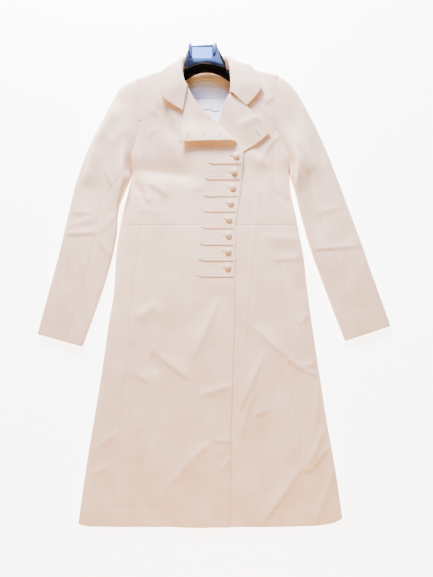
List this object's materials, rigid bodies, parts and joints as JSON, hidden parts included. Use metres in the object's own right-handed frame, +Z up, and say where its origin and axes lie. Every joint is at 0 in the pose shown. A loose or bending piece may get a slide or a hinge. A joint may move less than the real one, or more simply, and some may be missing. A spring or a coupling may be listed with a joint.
{
  "type": "wool coat laid flat with its hanger",
  "caption": "Knee-length wool coat with a broad collar, lapels and an off-centre row of covered buttons, laid flat on its back with its hanger inside.",
  "frame": {"origin": "middle of the coat's box on the surface that it lies on", "axes": "+Y from the hem to the neck, +Z up from the surface, +X the viewer's right, which is the wearer's left"},
  "size_m": [0.8056, 1.096, 0.0566],
  "materials": {
    "wool cloth": "smooth matte melton in pale warm beige",
    "lining": "satin",
    "woven label": "plain",
    "black plastic": "satin",
    "glossy plastic": "silvery gloss"
  },
  "bodies": {
    "root": {"back_bodice": "wool cloth", "back_skirt": "wool cloth", "front_right_bodice": "wool cloth", "front_left_bodice": "wool cloth", "side_right_bodice": "wool cloth", "side_left_bodice": "wool cloth", "front_right_skirt": "wool cloth", "front_left_skirt": "wool cloth", "side_right_skirt": "wool cloth", "side_left_skirt": "wool cloth", "sleeve_top_right": "wool cloth", "sleeve_under_right": "wool cloth", "sleeve_top_left": "wool cloth", "sleeve_under_left": "wool cloth", "lapel_right": "wool cloth", "lapel_left": "wool cloth", "collar": "wool cloth", "neck_facing": "wool cloth", "lining": "lining", "neck_label": "woven label", "care_label_1": "woven label", "care_label_2": "woven label", "tuck_1": "wool cloth", "tuck_2": "wool cloth", "tuck_3": "wool cloth", "tuck_4": "wool cloth", "tuck_5": "wool cloth", "tuck_6": "wool cloth", "tuck_7": "wool cloth", "tuck_8": "wool cloth", "button_1": "wool cloth", "button_2": "wool cloth", "button_3": "wool cloth", "button_4": "wool cloth", "button_5": "wool cloth", "button_6": "wool cloth", "button_7": "wool cloth", "button_8": "wool cloth", "hanger_shoulders": "black plastic", "hanger_cap": "glossy plastic"}
  },
  "joints": []
}
